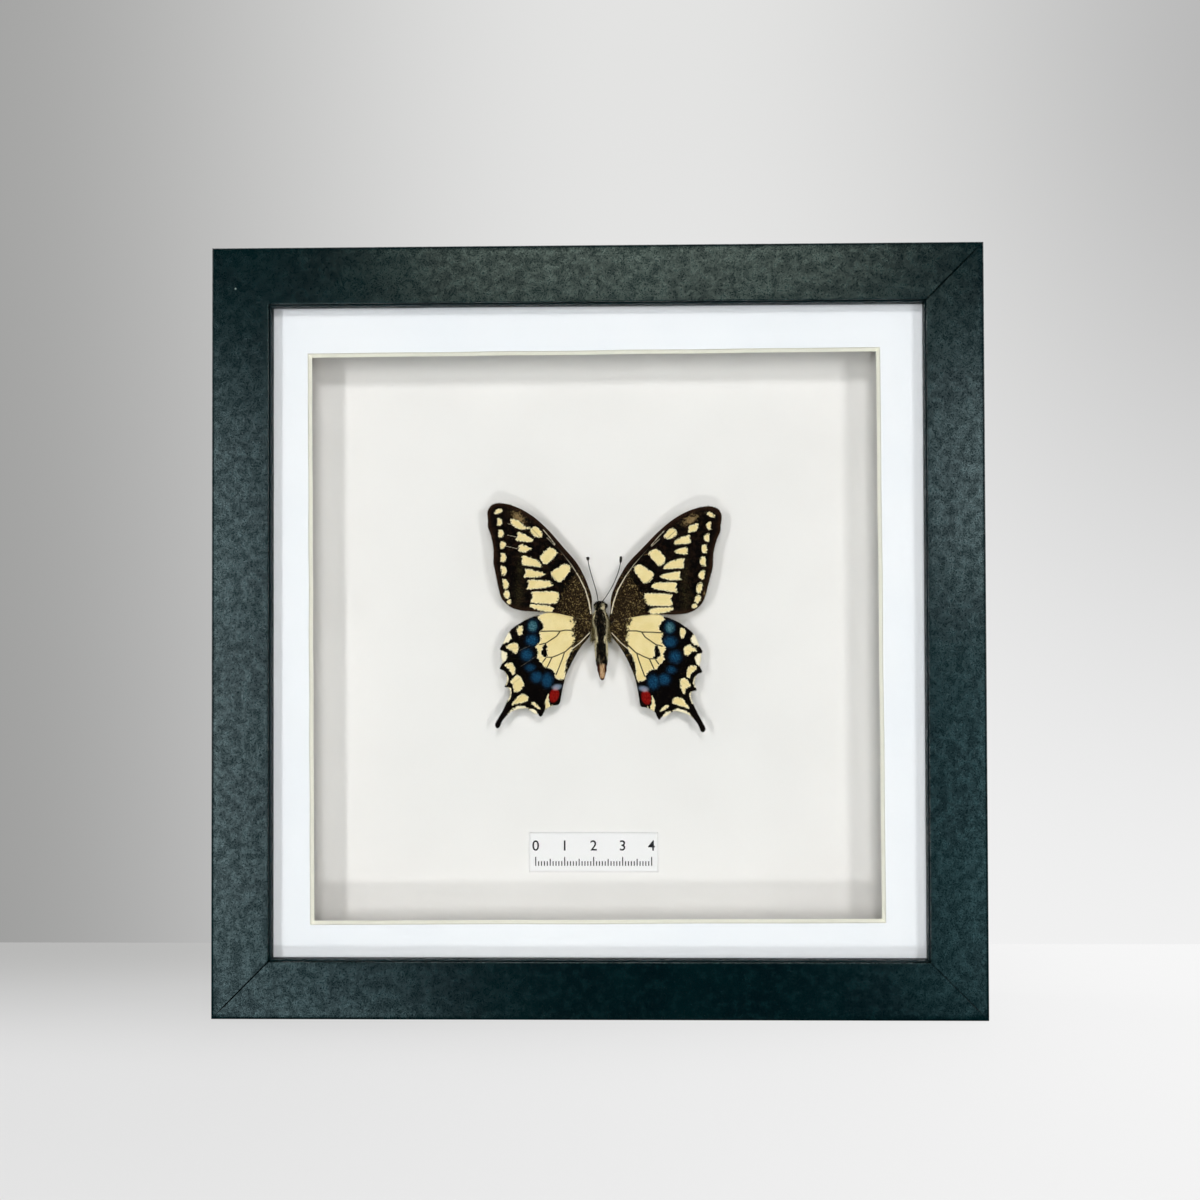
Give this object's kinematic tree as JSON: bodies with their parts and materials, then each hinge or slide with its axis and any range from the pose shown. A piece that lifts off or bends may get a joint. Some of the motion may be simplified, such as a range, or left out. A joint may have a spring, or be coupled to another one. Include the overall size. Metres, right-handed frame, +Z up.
{
  "type": "framed butterfly specimen",
  "caption": "Spread swallowtail butterfly with a small label, mounted behind a bevelled window mount and glass in a deep square box frame that stands on its edge or hangs.",
  "frame": {"origin": "centre of the frame's footprint on the surface it stands on", "axes": "+Z up, +X to the viewer's right across the face, +Y from the glass towards the back"},
  "size_m": [0.25, 0.05, 0.25],
  "materials": {
    "moulding": "dark grey-green satin foil over a wooden moulding",
    "glazing": "clear picture glass",
    "window_card": "matte white card with a cream bevel",
    "spacer_card": "matte off-white card strips",
    "board_card": "matte off-white board",
    "label_paper": "matte cream paper with black print",
    "pad_foam": "matte foam disc",
    "wing_scales": "dry scaled wing membrane, pale yellow on black with blue and red spots",
    "body_hair": "short black and yellow hair",
    "antenna_horn": "dry black horn",
    "hardboard": "brown hardboard",
    "tab_steel": "bright zinc-plated sheet steel"
  },
  "bodies": {
    "root": {"rail_bottom": "moulding", "rail_right": "moulding", "rail_top": "moulding", "rail_left": "moulding", "glass_pane": "glazing", "window_mount": "window_card", "spacer_bottom": "spacer_card", "spacer_top": "spacer_card", "spacer_left": "spacer_card", "spacer_right": "spacer_card", "mount_board": "board_card", "label": "label_paper", "specimen_pad": "pad_foam", "butterfly_body": "body_hair", "forewing_left": "wing_scales", "forewing_right": "wing_scales", "hindwing_left": "wing_scales", "hindwing_right": "wing_scales", "antenna_left": "antenna_horn", "antenna_right": "antenna_horn", "back_panel": "hardboard", "tab_bottom_a": "tab_steel", "tab_bottom_b": "tab_steel", "tab_right_a": "tab_steel", "tab_right_b": "tab_steel", "tab_top_a": "tab_steel", "tab_top_b": "tab_steel", "tab_left_a": "tab_steel", "tab_left_b": "tab_steel", "hanger": "tab_steel", "hanger_pin_left": "tab_steel", "hanger_pin_right": "tab_steel"}
  },
  "joints": []
}
